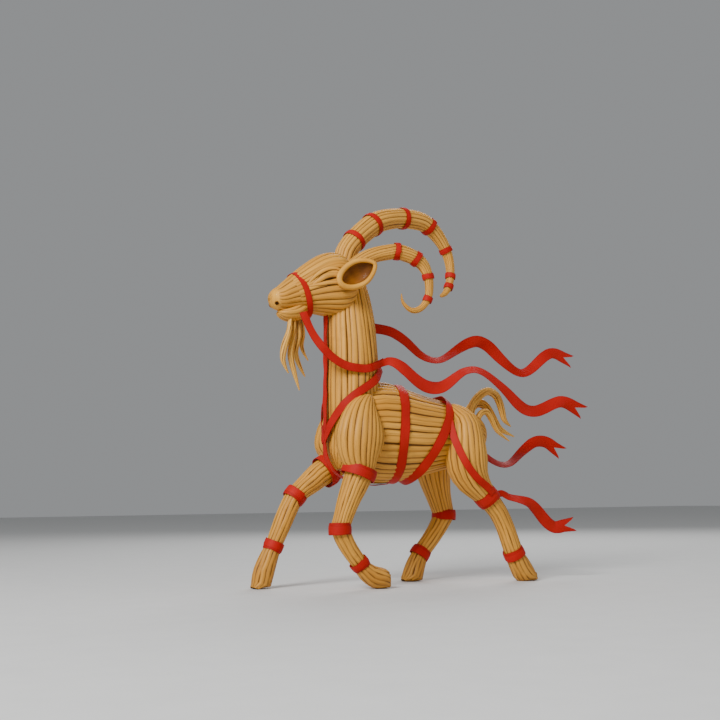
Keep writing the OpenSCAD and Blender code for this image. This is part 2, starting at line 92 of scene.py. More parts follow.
# %% [markdown]
# ## Camera
# The goat is seen from its left and a little from the front, from low down, so it stands tall.
# An aim point and a small roll say this more plainly than three angles would.

# %% Camera
camera_place = Vector((-524.4, -852.3, 74.3)) * MM
camera_aim = Vector((-84.5, 0, 199.9)) * MM
camera_roll = math.radians(-0.72)
camera_lens = 53.78

select_nothing()
bpy.ops.object.camera_add(location=camera_place)
camera = bpy.context.active_object
camera.data.sensor_width = 36
camera.data.lens = camera_lens
camera.rotation_mode = "QUATERNION"
turn = (camera_aim - camera_place).to_track_quat("-Z", "Y")
camera.rotation_quaternion = turn @ Quaternion((0, 0, 1), camera_roll)
bpy.context.scene.camera = camera
print("the camera stands", round((camera_aim - camera_place).length, 3), "metres from its aim")

# %% [markdown]
# ## Shader maths as plain sums
# A finish is a net of small sums. Adding a node for each by name hides the idea, so one class wraps
# a socket and lets Python's own signs add the Math nodes. Every other node comes from one method.


# %% A socket that can be added and multiplied
class Wire:
    """One output socket of a finish. A sum or product with it adds a Math node."""

    def __init__(self, finish, socket):
        self.finish, self.socket = finish, socket

    def maths(self, operation, first, second=0.0, clamp=False):
        settings = {"operation": operation, "use_clamp": clamp}
        return self.finish.node("ShaderNodeMath", settings, {0: first, 1: second})

    def __add__(self, other):
        return self.maths("ADD", self, other)

    def __sub__(self, other):
        return self.maths("SUBTRACT", self, other)

    def __rsub__(self, other):
        return self.maths("SUBTRACT", other, self)

    def __mul__(self, other):
        return self.maths("MULTIPLY", self, other)

    def __truediv__(self, other):
        return self.maths("DIVIDE", self, other)

    def __pow__(self, other):
        return self.maths("POWER", self, other)

    __radd__, __rmul__ = __add__, __mul__

    def clamped(self):
        return self.maths("ADD", self, 0.0, clamp=True)

    def between(self, low, high):
        """0 at low, 1 at high, and clamped outside."""
        return ((self - low) / (high - low)).clamped()


# %% A finish
class Finish:
    """A material under construction, with one Principled shader."""

    def __init__(self, name):
        self.material = bpy.data.materials.new(name)
        self.material.use_nodes = True
        self.tree = self.material.node_tree
        self.tree.nodes.clear()
        self.shader = self.tree.nodes.new("ShaderNodeBsdfPrincipled")
        output = self.tree.nodes.new("ShaderNodeOutputMaterial")
        self.tree.links.new(self.shader.outputs[0], output.inputs["Surface"])

    def feed(self, socket, value):
        if isinstance(value, Wire):
            self.tree.links.new(value.socket, socket)
        else:
            socket.default_value = value

    def node(self, kind, settings=None, sockets=None, output=0):
        made = self.tree.nodes.new(kind)
        for setting, value in (settings or {}).items():
            if setting == "stops":
                ramp = made.color_ramp
                while len(ramp.elements) < len(value):
                    ramp.elements.new(0.5)
                for element, (place, colour) in zip(ramp.elements, value):
                    element.position, element.color = place, (*colour, 1)
            else:
                setattr(made, setting, value)
        for socket, value in (sockets or {}).items():
            self.feed(made.inputs[socket], value)
        return Wire(self, made.outputs[output])

    def blend_colours(self, share, first, second):
        """A colour that lies a share of the way from the first to the second."""
        colours = [c if isinstance(c, Wire) else (*c, 1) for c in (first, second)]
        sockets = {0: share, 6: colours[0], 7: colours[1]}
        return self.node("ShaderNodeMix", {"data_type": "RGBA"}, sockets, 2)

    def run(self):
        """The piece's own map, in metres across and along."""
        return self.node("ShaderNodeUVMap", {"uv_map": "run"})

    def place(self):
        return self.node("ShaderNodeTexCoord", None, None, "Object")

    def numbers(self, attribute):
        return self.node("ShaderNodeAttribute", {"attribute_name": attribute}, None, "Fac")

    def pattern(self, vector, stretch, detail=2.0):
        """Smooth noise over a vector whose three directions are stretched to taste."""
        scaled = self.node("ShaderNodeMapping", None, {"Vector": vector, "Scale": stretch})
        return self.node("ShaderNodeTexNoise", None, {"Vector": scaled, "Scale": 1.0, "Detail": detail})

    def bump(self, height, distance, strength=1.0):
        sockets = {"Height": height, "Distance": distance, "Strength": strength}
        return self.node("ShaderNodeBump", None, sockets)

    def shade(self, **sockets):
        for socket, value in sockets.items():
            self.feed(self.shader.inputs[socket.replace("_", " ")], value)
        return self.material


# %% [markdown]
# ## Straw
# Rye straw is a hollow, slightly waxy tube. Fine fibres run along it, each straw has its own tone, and
# every hand's breadth there is a darker joint. Between straws the bundle falls into brown shade.
# A tiling picture would not follow the bends, so the fibres read the straw's own map, which is laid
# out in metres: across the straw first, then along it.


# %% Straw finish
joint_gap = 105 * MM
joint_shift = 3.7


def straw_finish(name, pale, golden, umber, fibre_depth=0.12 * MM):
    finish = Finish(name)
    run = finish.run()
    tone, crest = finish.numbers("tone"), finish.numbers("crest")
    fibres = finish.pattern(run, (2200, 50, 1), 3)
    strands = finish.pattern(run, (650, 14, 1), 2)
    weather = finish.pattern(finish.place(), (28, 28, 28), 2)
    along = finish.node("ShaderNodeSeparateXYZ", None, {0: run}, 1)
    joint_place = (along + tone * joint_shift) / joint_gap
    joint = joint_place.maths("ABSOLUTE", joint_place.maths("FRACT", joint_place) - 0.5)
    joint = 1 - joint.between(0.006, 0.016)
    light = (tone * 0.45 + strands.between(0.3, 0.7) * 0.35 + weather.between(0.3, 0.7) * 0.3).clamped()
    colour = finish.blend_colours(light, golden, pale)
    colour = finish.blend_colours(fibres.between(0.50, 0.70) * 0.42, colour, umber)
    colour = finish.blend_colours(joint * 0.1, colour, umber)
    shade = (1 - crest.between(0.45, 0.86)) ** 1.2
    colour = finish.blend_colours(shade * 0.95, colour, umber)
    height = fibres * 0.6 + strands * 0.8 - joint * 0.2
    return finish.shade(
        Base_Color=colour,
        Roughness=0.46 + fibres * 0.2,
        Coat_Weight=0.06,
        Coat_Roughness=0.35,
        Specular_IOR_Level=0.25,
        Normal=finish.bump(height, fibre_depth, 0.7),
    )


straw = straw_finish("straw", (0.80, 0.385, 0.052), (0.55, 0.225, 0.018), (0.11, 0.034, 0.003))
hoof_straw = straw_finish("hoof_straw", (0.68, 0.315, 0.04), (0.46, 0.18, 0.015), (0.10, 0.03, 0.003))
loose_straw = straw_finish("loose_straw", (0.92, 0.51, 0.10), (0.66, 0.31, 0.035), (0.17, 0.06, 0.006))
horn_straw = straw_finish("horn_straw", (0.82, 0.40, 0.06), (0.58, 0.245, 0.023), (0.13, 0.042, 0.004))


# %% The shaded heart of a bundle
def heart_finish():
    finish = Finish("straw_heart")
    mottle = finish.pattern(finish.place(), (160, 160, 160), 2)
    colour = finish.blend_colours(mottle, (0.022, 0.008, 0.001), (0.045, 0.016, 0.002))
    return finish.shade(
        Base_Color=colour,
        Roughness=0.85,
        Specular_IOR_Level=0.05,
        Normal=finish.bump(mottle, 0.4 * MM),
    )


straw_heart = heart_finish()
print("straw finishes:", [m.name for m in (straw, hoof_straw, loose_straw, horn_straw, straw_heart)])

# %% [markdown]
# ## Ribbon
# The ribbon is a narrow woven satin. Its threads cross the width in fine ribs, and it shines softly along the
# weave.
# Both edges are darker: partly the denser selvedge, partly painted shade where the crowned edges turn away.
# The sheen of cloth comes from the shader itself, so it stays true from every side.


# %% Ribbon finish
def ribbon_finish():
    finish = Finish("ribbon")
    run = finish.run()
    crest = finish.numbers("crest")
    ribs = finish.node(
        "ShaderNodeTexWave",
        {"wave_type": "BANDS", "bands_direction": "Y"},
        {"Vector": run, "Scale": 420.0, "Distortion": 0.6, "Detail": 1.0},
        "Fac",
    )
    threads = finish.pattern(run, (2600, 420, 1), 2)
    slubs = finish.pattern(run, (160, 2400, 1), 1)
    fade = finish.pattern(finish.place(), (30, 30, 30), 2)
    light = (fade.between(0.3, 0.7) * 0.6 + threads * 0.4).clamped()
    colour = finish.blend_colours(light, (0.36, 0.004, 0.0015), (0.56, 0.010, 0.003))
    colour = finish.blend_colours(ribs * 0.18, colour, (0.20, 0.002, 0.001))
    # Darker towards both edges: partly the denser selvedge, partly painted shade where the crowned edges turn
    # from the light.
    selvedge_and_shade = crest.between(0.80, 0.95)
    colour = finish.blend_colours(selvedge_and_shade * 0.45, colour, (0.17, 0.002, 0.001))
    height = ribs * 0.5 + threads * 0.5 + slubs * 0.3
    return finish.shade(
        Base_Color=colour,
        Roughness=0.5 + threads * 0.2,
        Sheen_Weight=0.03,
        Sheen_Roughness=0.4,
        Specular_IOR_Level=0.18,
        Normal=finish.bump(height, 0.1 * MM, 0.5),
    )


ribbon = ribbon_finish()

# %% [markdown]
# ## Husk and wire
# The ears and the nose are a flat sheath of straw, smoother than the stalks and veined along its
# length. Inside an ear it lies in brown shade. The wires are drawn steel with fine draw lines.


# %% Husk finishes
def husk_finish(name, pale, golden, umber):
    finish = Finish(name)
    run = finish.run()
    veins = finish.pattern(run, (900, 20, 1), 3)
    weather = finish.pattern(finish.place(), (60, 60, 60), 2)
    colour = finish.blend_colours(weather.between(0.3, 0.7), golden, pale)
    colour = finish.blend_colours(veins.between(0.5, 0.75) * 0.5, colour, umber)
    return finish.shade(
        Base_Color=colour,
        Roughness=0.5 + veins * 0.2,
        Coat_Weight=0.04,
        Specular_IOR_Level=0.15,
        Normal=finish.bump(veins, 0.3 * MM, 0.8),
    )


husk = husk_finish("husk", (0.80, 0.395, 0.058), (0.62, 0.27, 0.028), (0.26, 0.095, 0.009))
husk_inside = husk_finish("husk_inside", (0.30, 0.10, 0.007), (0.11, 0.032, 0.002), (0.03, 0.008, 0.001))


# %% Drawn steel
def steel_finish():
    finish = Finish("drawn_steel")
    draw_lines = finish.pattern(finish.place(), (900, 900, 60), 2)
    colour = finish.blend_colours(draw_lines, (0.42, 0.42, 0.43), (0.60, 0.60, 0.61))
    return finish.shade(
        Base_Color=colour,
        Metallic=1.0,
        Roughness=0.3 + draw_lines * 0.2,
        Normal=finish.bump(draw_lines, 0.05 * MM, 0.4),
    )


drawn_steel = steel_finish()

# %% [markdown]
# ## One straw, made by hand
# Hundreds of straws are needed, so one is modelled with care and copied. It starts as a cylinder of
# unit size. Its long edges are cut into levels so that it can bend, and each cut end is inset and
# pushed in, since straw is hollow. The Curve modifier could bend copies, but it can't keep a flattened
# straw's back turned outwards on a swelling bundle, so the copies are bent by a small function below.


# %% Choosing edges and faces in code
def pick(thing, edges=None, faces=None):
    """In edit mode, selects only the edges or faces for which the test holds."""
    bpy.ops.object.mode_set(mode="EDIT")
    mode = (False, True, False) if edges else (False, False, True)
    bpy.context.tool_settings.mesh_select_mode = mode
    bpy.ops.mesh.select_all(action="DESELECT")
    shape = bmesh.from_edit_mesh(thing.data)
    for edge in shape.edges if edges else []:
        edge.select_set(edges(edge.verts[0].co, edge.verts[1].co))
    for face in shape.faces if faces else []:
        face.select_set(faces(face.calc_center_median(), face.normal))
    bmesh.update_edit_mesh(thing.data)


def read_shape(thing):
    """The corners, faces and map of a hand-made shape, which is then put away."""
    mesh = thing.data
    shape = {
        "points": np.array([v.co for v in mesh.vertices]),
        "faces": [tuple(f.vertices) for f in mesh.polygons],
        "map": np.array([corner.uv for corner in mesh.uv_layers.active.data]),
    }
    bpy.data.objects.remove(thing)
    return shape


# %% The straw
def straw_by_hand(corners, levels):
    select_nothing()
    bpy.ops.mesh.primitive_cylinder_add(vertices=corners, radius=1, depth=1, location=(0, 0, 0.5))
    bpy.ops.object.transform_apply(location=True, rotation=False, scale=False)
    thing = bpy.context.active_object
    pick(thing, edges=lambda a, b: abs(a.z - b.z) > 0.5)
    bpy.ops.mesh.subdivide(number_cuts=levels - 1)
    pick(thing, faces=lambda centre, normal: abs(normal.z) > 0.5)
    bpy.ops.mesh.inset(thickness=0.3)
    bpy.ops.transform.resize(value=(1, 1, 0.97), center_override=(0, 0, 0.5))
    bpy.ops.object.mode_set(mode="OBJECT")
    shape = read_shape(thing)
    shape["crest"], shape["breadth"] = shape["points"][:, 1].copy(), math.pi
    return shape


straw_shapes = {levels: straw_by_hand(8, levels) for levels in (7, 10, 14, 24, 44)}
heart_shape = straw_by_hand(20, 24)
for levels, shape in straw_shapes.items():
    print("a straw with", levels, "levels has", len(shape["faces"]), "faces")


# %% The ribbon
def ribbon_by_hand(levels, columns=4, forked=0.0):
    """A flat bar with a crowned back, its edges rounded, and its far end cut to a swallow tail."""
    select_nothing()
    bpy.ops.mesh.primitive_cube_add(size=1, location=(0, 0, 0.5), scale=(2, 2, 1))
    bpy.ops.object.transform_apply(location=True, rotation=False, scale=True)
    thing = bpy.context.active_object
    pick(thing, edges=lambda a, b: abs(a.z - b.z) > 0.5)
    bpy.ops.mesh.subdivide(number_cuts=levels - 1)
    pick(thing, edges=lambda a, b: abs(a.x - b.x) > 1)
    bpy.ops.mesh.subdivide(number_cuts=columns - 1)
    bpy.ops.object.mode_set(mode="OBJECT")
    shape = read_shape(thing)
    x, y, z = shape["points"].T
    shape["crest"], shape["breadth"] = np.abs(x), 2
    corners = [k for face in shape["faces"] for k in face]
    shape["map"] = np.stack([x[corners] / 2, 0.5 + z[corners] / 2], axis=1)
    shape["points"][:, 1] = y * (1 - 0.5 * np.abs(x) ** 3)
    if forked:
        drawn = np.clip((z - 1) / (2 * forked) + 1, 0, 1)
        shape["points"][:, 0] = x * (1 + 0.2 * drawn**2)
        shape["points"][:, 2] = z - forked * (1 - np.abs(x)) * drawn
    return shape


# %% [markdown]
# ## Bending copies along a route
# A route gives, level by level, where the middle of the shape goes, which way its width points and
# which way its back points. The shape's x, y and z are then read as across, outward and along.


# %% Bend and join
def rows_at(places, stations, rows):
    return np.stack([np.interp(places, stations, rows[:, k]) for k in range(rows.shape[1])], axis=1)


def steps_of(route):
    """The distance from each row of a route to the next."""
    return np.linalg.norm(np.diff(route, axis=0), axis=1)


def bend(shape, centre, across, outward, tone=0.5, metal=0):
    """A copy of the shape along a route of rows, with its map in metres."""
    stations = np.linspace(0, 1, len(centre))
    z = shape["points"][:, 2]
    middle, wide, tall = (rows_at(z, stations, rows) for rows in (centre, across, outward))
    points = middle + wide * shape["points"][:, :1] + tall * shape["points"][:, 1:2]
    length = steps_of(centre).sum()
    breadth = np.linalg.norm(across, axis=1).max() * shape["breadth"]
    run = (shape["map"] - (0, 0.5)) * (breadth, 2 * length) + (tone * 7.3, tone * 11.9)
    return {"points": points, "faces": shape["faces"], "map": run, "crest": shape["crest"],
            "tone": tone, "metal": metal}


def join_copies(name, copies, finishes, body, replaces=()):
    """One piece from many bent copies, riding on its body."""
    points = np.concatenate([c["points"] for c in copies])
    starts = np.cumsum([0] + [len(c["points"]) for c in copies])
    faces = [tuple(start + k for k in face) for c, start in zip(copies, starts) for face in c["faces"]]
    mesh = bpy.data.meshes.new(name)
    mesh.from_pydata(points.tolist(), [], faces)
    layer = mesh.uv_layers.new(name="run")
    layer.data.foreach_set("uv", np.concatenate([c["map"] for c in copies]).ravel().astype(np.float32))
    for label in ("crest", "tone"):
        values = np.concatenate([np.broadcast_to(c[label], len(c["points"])) for c in copies])
        mesh.attributes.new(label, "FLOAT", "POINT").data.foreach_set("value", values.astype(np.float32))
    metals = np.concatenate([np.full(len(c["faces"]), c["metal"], np.int32) for c in copies])
    mesh.polygons.foreach_set("material_index", metals)
    for finish in finishes:
        mesh.materials.append(finish)
    piece = bpy.data.objects.new(name, mesh)
    bpy.context.collection.objects.link(piece)
    select_nothing()
    piece.select_set(True)
    bpy.context.view_layer.objects.active = piece
    bpy.ops.object.shade_smooth_by_angle(angle=math.radians(50))
    settle(piece, body, replaces)
    return piece


def settle(piece, body, replaces=()):
    """The piece rides on its body and stands for its plain solids."""
    if body:
        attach(piece, body)
    if replaces:
        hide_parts(*replaces)
    print(piece.name, "has", len(piece.data.polygons), "faces")


# %% [markdown]
# ## Reading a bundle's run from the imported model
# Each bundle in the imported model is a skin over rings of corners. Its loose triangles are joined in a
# copy, the flat cut end is found, and the rings follow one after the other as neighbours. Each ring
# gives the middle of the bundle there and its two half widths.


# %% Join a copy of a node
def joined_copy(node):
    """Corners, triangles and their normals of a node whose loose triangles are joined."""
    select_nothing()
    copy = bpy.data.objects.new("copy", frame["nodes"][node].data.copy())
    bpy.context.collection.objects.link(copy)
    copy.select_set(True)
    bpy.context.view_layer.objects.active = copy
    bpy.ops.object.mode_set(mode="EDIT")
    bpy.ops.mesh.select_all(action="SELECT")
    bpy.ops.mesh.remove_doubles(threshold=0.02 * MM)
    bpy.ops.object.mode_set(mode="OBJECT")
    points = np.array([v.co for v in copy.data.vertices])
    triangles = [tuple(f.vertices) for f in copy.data.polygons]
    normals = np.array([f.normal for f in copy.data.polygons])
    bpy.data.objects.remove(copy)
    return points, triangles, normals


def gather(count, pairs):
    """Groups of the numbers below count that the pairs tie together."""
    root = list(range(count))

    def find(k):
        while root[k] != k:
            root[k] = root[root[k]]
            k = root[k]
        return k

    for a, b in pairs:
        root[find(a)] = find(b)
    return [find(k) for k in range(count)]


def neighbours_and_ends(points, triangles, normals):
    """Each corner's neighbours, and the flat ends: patches left by two edges at every corner."""
    by_edge, neighbours = {}, [set() for _ in points]
    for number, corners in enumerate(triangles):
        for a, b in zip(corners, corners[1:] + corners[:1]):
            by_edge.setdefault(frozenset((a, b)), []).append(number)
            neighbours[a].add(b)
            neighbours[b].add(a)
    flat = [f for f in by_edge.values() if len(f) == 2 and normals[f[0]] @ normals[f[1]] > 1 - 1e-5]
    patches = {}
    for number, root in enumerate(gather(len(triangles), flat)):
        patches.setdefault(root, set()).update(triangles[number])
    ends = [p for p in patches.values() if len(p) > 3 and all(len(neighbours[v] - p) <= 2 for v in p)]
    return neighbours, ends


# %% Walk from ring to ring
def rings_from(neighbours, end):
    """The corners of each ring in turn, from a flat end."""
    rings, seen, ring = [], set(), set(end)
    while ring:
        rings.append(sorted(ring))
        seen |= ring
        ring = set().union(*(neighbours[v] for v in ring)) - seen
    return rings


def unit(rows):
    return rows / np.linalg.norm(rows, axis=-1, keepdims=True)


def heading_of(route):
    return unit(np.gradient(route, axis=0))


def square_to(heading, ways):
    """The ways, turned square to a heading."""
    return unit(ways - heading * np.sum(ways * heading, axis=-1, keepdims=True))


def run_of(rings):
    """Rows of middle, side, up and the two half widths, one for each ring."""
    middles = np.array([ring.mean(0) for ring in rings])
    heading = heading_of(middles)
    side = square_to(heading, np.array([0, 1, 0]))
    up = np.cross(heading, side)
    rows = []
    for ring, middle, s, u in zip(rings, middles, side, up):
        reach = [math.sqrt(2 * np.mean(((ring - middle) @ direction) ** 2)) for direction in (s, u)]
        rows.append([*middle, *s, *u, *reach])
    return np.array(rows)


def bundle_runs(node, begin):
    """The run of each bundle in a node, from the end that lies furthest in the direction begin."""
    points, triangles, normals = joined_copy(node)
    neighbours, ends = neighbours_and_ends(points, triangles, normals)
    ends.sort(key=lambda end: -points[sorted(end)].mean(0) @ np.array(begin))
    runs, used = [], set()
    for end in ends:
        if not end & used:
            rings = rings_from(neighbours, end)
            used.update(corner for ring in rings for corner in ring)
            runs.append(run_of([points[ring] for ring in rings]))
    return runs


# %% Smooth rows
def smooth_rows(rows, count):
    """Evenly spaced rows on a smooth curve through the given ones."""
    last = len(rows) - 1
    place = np.linspace(0, last, count)
    whole = np.minimum(place.astype(int), last - 1)
    t = (place - whole)[:, None]
    a, b, c, d = (rows[np.clip(whole + k, 0, last)] for k in (-1, 0, 1, 2))
    return (2 * b + (c - a) * t + (2 * a - 5 * b + 4 * c - d) * t**2 + (3 * b - a - 3 * c + d) * t**3) / 2


def even_rows(rows, along, count):
    """The rows, spaced evenly by the distance walked along a route."""
    walked = np.concatenate([[0], np.cumsum(steps_of(along))])
    return rows_at(np.linspace(0, walked[-1], count), walked, rows)


def rounded(run, start=False, end=False):
    """The run with its cut ends drawn in to a dome."""
    rows = list(run)
    for wanted, outer, inner in ((start, 0, 1), (end, -1, -2)):
        if not wanted:
            continue
        edge = run[outer].copy()
        out = unit(run[outer][:3] - run[inner][:3])
        reach = min(edge[9], edge[10])
        for far, narrow in ((0.3, 0.72), (0.42, 0.2)):
            row = edge.copy()
            row[:3] += out * reach * far
            row[9:] *= narrow
            rows.insert(0 if outer == 0 else len(rows), row)
    return np.array(rows)


# %% [markdown]
# ## Laying straw round a bundle
# The straws lie side by side on the bundle's skin like staves on a barrel. Their shares of the girth
# differ a little, they wander as they run, and they thin where the ribbon draws the bundle in.
# A shaded heart fills the middle, so no light passes between them.


# %% Places round the girth
def round_the_girth(half_wide, half_tall, shares):
    """Angles at the given shares of an oval's girth, and the girth itself."""
    angle = np.linspace(0, 2 * math.pi, 181)
    x, y = half_wide * np.cos(angle), half_tall * np.sin(angle)
    walked = np.concatenate([[0], np.cumsum(np.hypot(np.diff(x), np.diff(y)))])
    return np.interp(shares % 1, walked / walked[-1], angle), walked[-1]


def on_skin(row, angle):
    """The point on a bundle's skin at an angle, and the direction straight out of it."""
    side, up = row[3:6], row[6:9]
    x, y = np.cos(angle)[:, None], np.sin(angle)[:, None]
    point = row[:3] + side * x * row[9] + up * y * row[10]
    return point, unit(side * x / row[9] + up * y / row[10])


# %% The bundle
narrowest, broadest = 0.74, 1.3
straw_overlap = 1.16
most_height, heart_depth, thinnest = 2.1 * MM, 2.0 * MM, 0.25 * MM


def lay_straws(run, straw_width, levels, twist=0.0, wander=0.05, flatness=0.62, floor=None, part=None):
    """Bent copies of the straw that cover a bundle, and its heart. Part moves them round the girth."""
    rows = smooth_rows(run, levels + 1)
    rows[:, 3:6], rows[:, 6:9] = unit(rows[:, 3:6]), unit(rows[:, 6:9])
    rows[:, 9:] = np.maximum(rows[:, 9:], thinnest)
    heading = heading_of(rows[:, :3])
    girth = max(round_the_girth(row[9], row[10], np.zeros(1))[1] for row in rows)
    count = max(5, round(girth / straw_width))
    widths = chance.uniform(narrowest, broadest, count)
    widths *= count / widths.sum()
    shares = (np.cumsum(widths) - widths / 2) / count
    phase, swing = chance.uniform(0, ROUND, count), chance.uniform(1.0, 2.6, count)
    lift = chance.uniform(-0.10, 0.12, count)
    centre, across, outward = (np.zeros((count, levels + 1, 3)) for _ in range(3))
    for level, row in enumerate(rows):
        t = level / levels
        drift = wander / count * np.sin(phase + swing * t * ROUND)
        angle, around = round_the_girth(row[9], row[10], shares + drift + twist * t)
        if part:
            angle = part(angle, t)
        point, out = on_skin(row, angle)
        half = around / count / 2 * widths * straw_overlap
        tall = np.minimum(half * flatness, most_height)
        centre[:, level] = point - out * (tall * (1 - lift))[:, None]
        across[:, level] = unit(np.cross(out, heading[level])) * half[:, None]
        outward[:, level] = out * tall[:, None]
    copies = []
    for k in range(count):
        copies.append(bend(straw_shapes[levels], centre[k], across[k], outward[k], chance.uniform(0, 1)))
    sunk = np.minimum(heart_depth, rows[:, 9:] * 0.4)
    wide = rows[:, 3:6] * (rows[:, 9:10] - sunk[:, :1])
    tall = rows[:, 6:9] * (rows[:, 10:] - sunk[:, 1:])
    copies.append(bend(heart_shape, rows[:, :3], wide, tall, metal=1))
    if floor is not None:
        for copy in copies:
            copy["points"][:, 2] = np.maximum(copy["points"][:, 2], floor)
    return copies


UP, DOWN, FORWARD = (0, 0, 1), (0, 0, -1), (-1, 0, 0)


def bundle(node, begin, straw_width, levels, finish=None, slot="straw", domes=(False, False), **style):
    """The straw bundle that stands for a node."""
    copies = []
    for run in bundle_runs(node, begin):
        copies += lay_straws(rounded(run, *domes), straw_width, levels, **style)
    name = node + "_straws"
    return join_copies(name, copies, [finish or straw, straw_heart], "goat", [node])


# %% [markdown]
# ## Trunk, neck and limbs
# The trunk's straws run from chest to rump. The neck's rise from deep in the chest. Shoulders and
# haunches swell like drops, gathered to a point at the top, and narrow to the bindings below.

# %% Trunk and neck
bundle("trunk", FORWARD, 5.6 * MM, 24, domes=(True, True), wander=0.11, flatness=0.5)
bundle("neck", DOWN, 5.2 * MM, 24, domes=(True, False), wander=0.11, flatness=0.5)

# %% Shoulders and haunches
for side in ("left", "right"):
    bundle("shoulder_" + side, UP, 5.2 * MM, 14, domes=(True, False))
    bundle("haunch_" + side, UP, 5.2 * MM, 14, domes=(True, False))

# %% Forearms and cannons
for side in ("left", "right"):
    for limb in ("forearm_", "fore_cannon_", "hind_cannon_"):
        bundle(limb + side, UP, 4.4 * MM, 7, wander=0.08)

# %% [markdown]
# ## Hooves
# A hoof is the bundle's own cut end, spread a little and trimmed flat where it stands. The packed
# hooves are cut by the floor, so their rings are broken. They are sliced instead: a plane square to
# the run marches from the fetlock to the sole, and each slice gives the middle and the half widths.


# %% Slice a hoof
def sliced_run(node, start, heading, step=2.5 * MM, most=30):
    """Rows as run_of gives them, from slices square to the run."""
    points, triangles, _ = joined_copy(node)
    corners = points[np.array(triangles)]
    rows, middle = [], np.array(start)
    while len(rows) < most:
        depth = (corners - middle) @ heading
        hits = []
        for a, b in ((0, 1), (1, 2), (2, 0)):
            crossed = depth[:, a] * depth[:, b] < 0
            share = (depth[crossed, a] / (depth[crossed, a] - depth[crossed, b]))[:, None]
            hits.append(corners[crossed, a] * (1 - share) + corners[crossed, b] * share)
        hits = np.concatenate(hits)
        if len(hits) < 8:
            break
        side = square_to(heading, np.array([0, 1, 0]))
        up = np.cross(heading, side)
        spans = [((hits @ d).min(), (hits @ d).max()) for d in (side, up)]
        found = middle + sum(((low + high) / 2 - middle @ d) * d for (low, high), d in zip(spans, (side, up)))
        if rows:
            heading = unit(0.55 * heading + 0.45 * unit(found - rows[-1][:3]))
        rows.append(np.array([*found, *side, *up, *((high - low) / 2 for low, high in spans)]))
        middle = found + heading * step
    return np.array(rows)


# %% Hooves
for side in ("left", "right"):
    for end in ("fore_", "hind_"):
        above = bundle_runs(end + "cannon_" + side, UP)[0]
        heading = unit(above[-1][:3] - above[-2][:3])
        run = sliced_run(end + "hoof_" + side, above[-1][:3] + heading * 0.5 * MM, heading)
        copies = lay_straws(run, 4.4 * MM, 7, wander=0.1, floor=0.05 * MM)
        name = end + "hoof_" + side
        join_copies(name + "_straws", copies, [hoof_straw, straw_heart], "goat", [name])
        print(name, "was sliced", len(run), "times")

# %% [markdown]
# ## Head
# The head is one bundle that swells from the muzzle to the cheeks. In front of the noseband the straws
# are few and broad, behind it there are more, so the two are laid apart and meet under the ribbon.


# %% Straws parted by the eyes
def part_for_eyes(angle, t):
    """The straws above each eye rise in an arch."""
    most, eye_height, eye_spread = 0.12, 0.35, 0.3
    rise = np.arcsin(np.sin(angle))
    near = np.exp(-(((rise - eye_height) / eye_spread) ** 2))
    push = most * math.sin(math.pi * min(1, t * 1.7)) ** 2 * near
    return angle + push * np.sign(np.cos(angle))


# %% Muzzle and cheeks
def box_middle(node):
    low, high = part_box(node)
    return np.array((low + high) / 2)


head_run = rounded(bundle_runs("head", FORWARD)[0], True, True)
band_place = np.interp(box_middle("noseband")[0], head_run[:, 0], np.arange(len(head_run)))
split = int(round(band_place))
muzzle = lay_straws(head_run[: split + 1], 6.6 * MM, 14, wander=0.03)
cheeks = lay_straws(head_run[split - 1 :], 6.2 * MM, 14, wander=0.04, part=part_for_eyes)
head = join_copies("head_straws", muzzle + cheeks, [straw, straw_heart], "goat", ["head"])
bundle("lower_jaw", FORWARD, 5.0 * MM, 10, domes=(True, True))


# %% [markdown]
# ## Nose, closed eyes and nostrils
# The cut ends at the tip of the muzzle are hidden under a smooth wad of husk: a ball, squeezed to fit.
# The eyelids are single straws bent in an arch over each cheek and pressed into the others, thinning
# to a point at both corners. A nostril is a straw pushed in crosswise, so its hollow end shows dark.


# %% Routes on the head
head_rows = smooth_rows(head_run, 201)
head_low, head_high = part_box("head")


def head_row(share):
    """The head's row at a share of its length, from the nose back."""
    wanted = head_low.x + share * (head_high.x - head_low.x)
    place = np.interp(wanted, head_rows[:, 0], np.arange(len(head_rows)))
    return head_rows[int(round(place))]


def on_head(share, lift, left):
    """A point on the head's skin, a share of the way back, at an angle above its side."""
    angle = math.pi - lift if left else lift
    point, out = on_skin(head_row(share), np.array([angle]))
    return point[0], out[0]


def arched_straw(places, lifts, half_width, left, sunk, tone):
    """One straw laid on the head through a few places, thin at both ends."""
    levels, corner = 14, 0.12
    spots = smooth_rows(np.array([places, lifts]).T, levels + 1)
    pairs = [on_head(place, lift, left) for place, lift in spots]
    points, outs = np.array([p for p, _ in pairs]), np.array([o for _, o in pairs])
    swell = np.sin(np.linspace(corner, math.pi - corner, levels + 1))[:, None] ** 0.6
    across = unit(np.cross(outs, heading_of(points))) * half_width * swell
    outward = outs * half_width * 0.85 * swell
    return bend(straw_shapes[levels], points - outs * sunk, across, outward, tone)


# %% A ball of husk
def husk_ball(location=(0, 0, 0)):
    select_nothing()
    bpy.ops.mesh.primitive_uv_sphere_add(segments=32, ring_count=20, radius=1, location=location)
    return bpy.context.active_object


def smooth_and_mapped(piece, size):
    """Shades the piece smooth and gives its own map a name and a size in metres."""
    bpy.ops.object.shade_smooth()
    piece.data.uv_layers.active.name = "run"
    for corner in piece.data.uv_layers.active.data:
        corner.uv *= size


# %% Nose
nose_length, nose_inset = 9 * MM, 0.9 * MM
nose_row = head_row(0.09)
nose_middle = nose_row[:3]
nose_size = np.array([nose_length, nose_row[9] - nose_inset, nose_row[10] - nose_inset])
nose = husk_ball(nose_middle)
nose.name = "nose_husk"
nose.scale = nose_size
bpy.ops.object.transform_apply(location=True, rotation=False, scale=True)
smooth_and_mapped(nose, 30 * MM)
nose.data.materials.append(husk)
settle(nose, "goat")

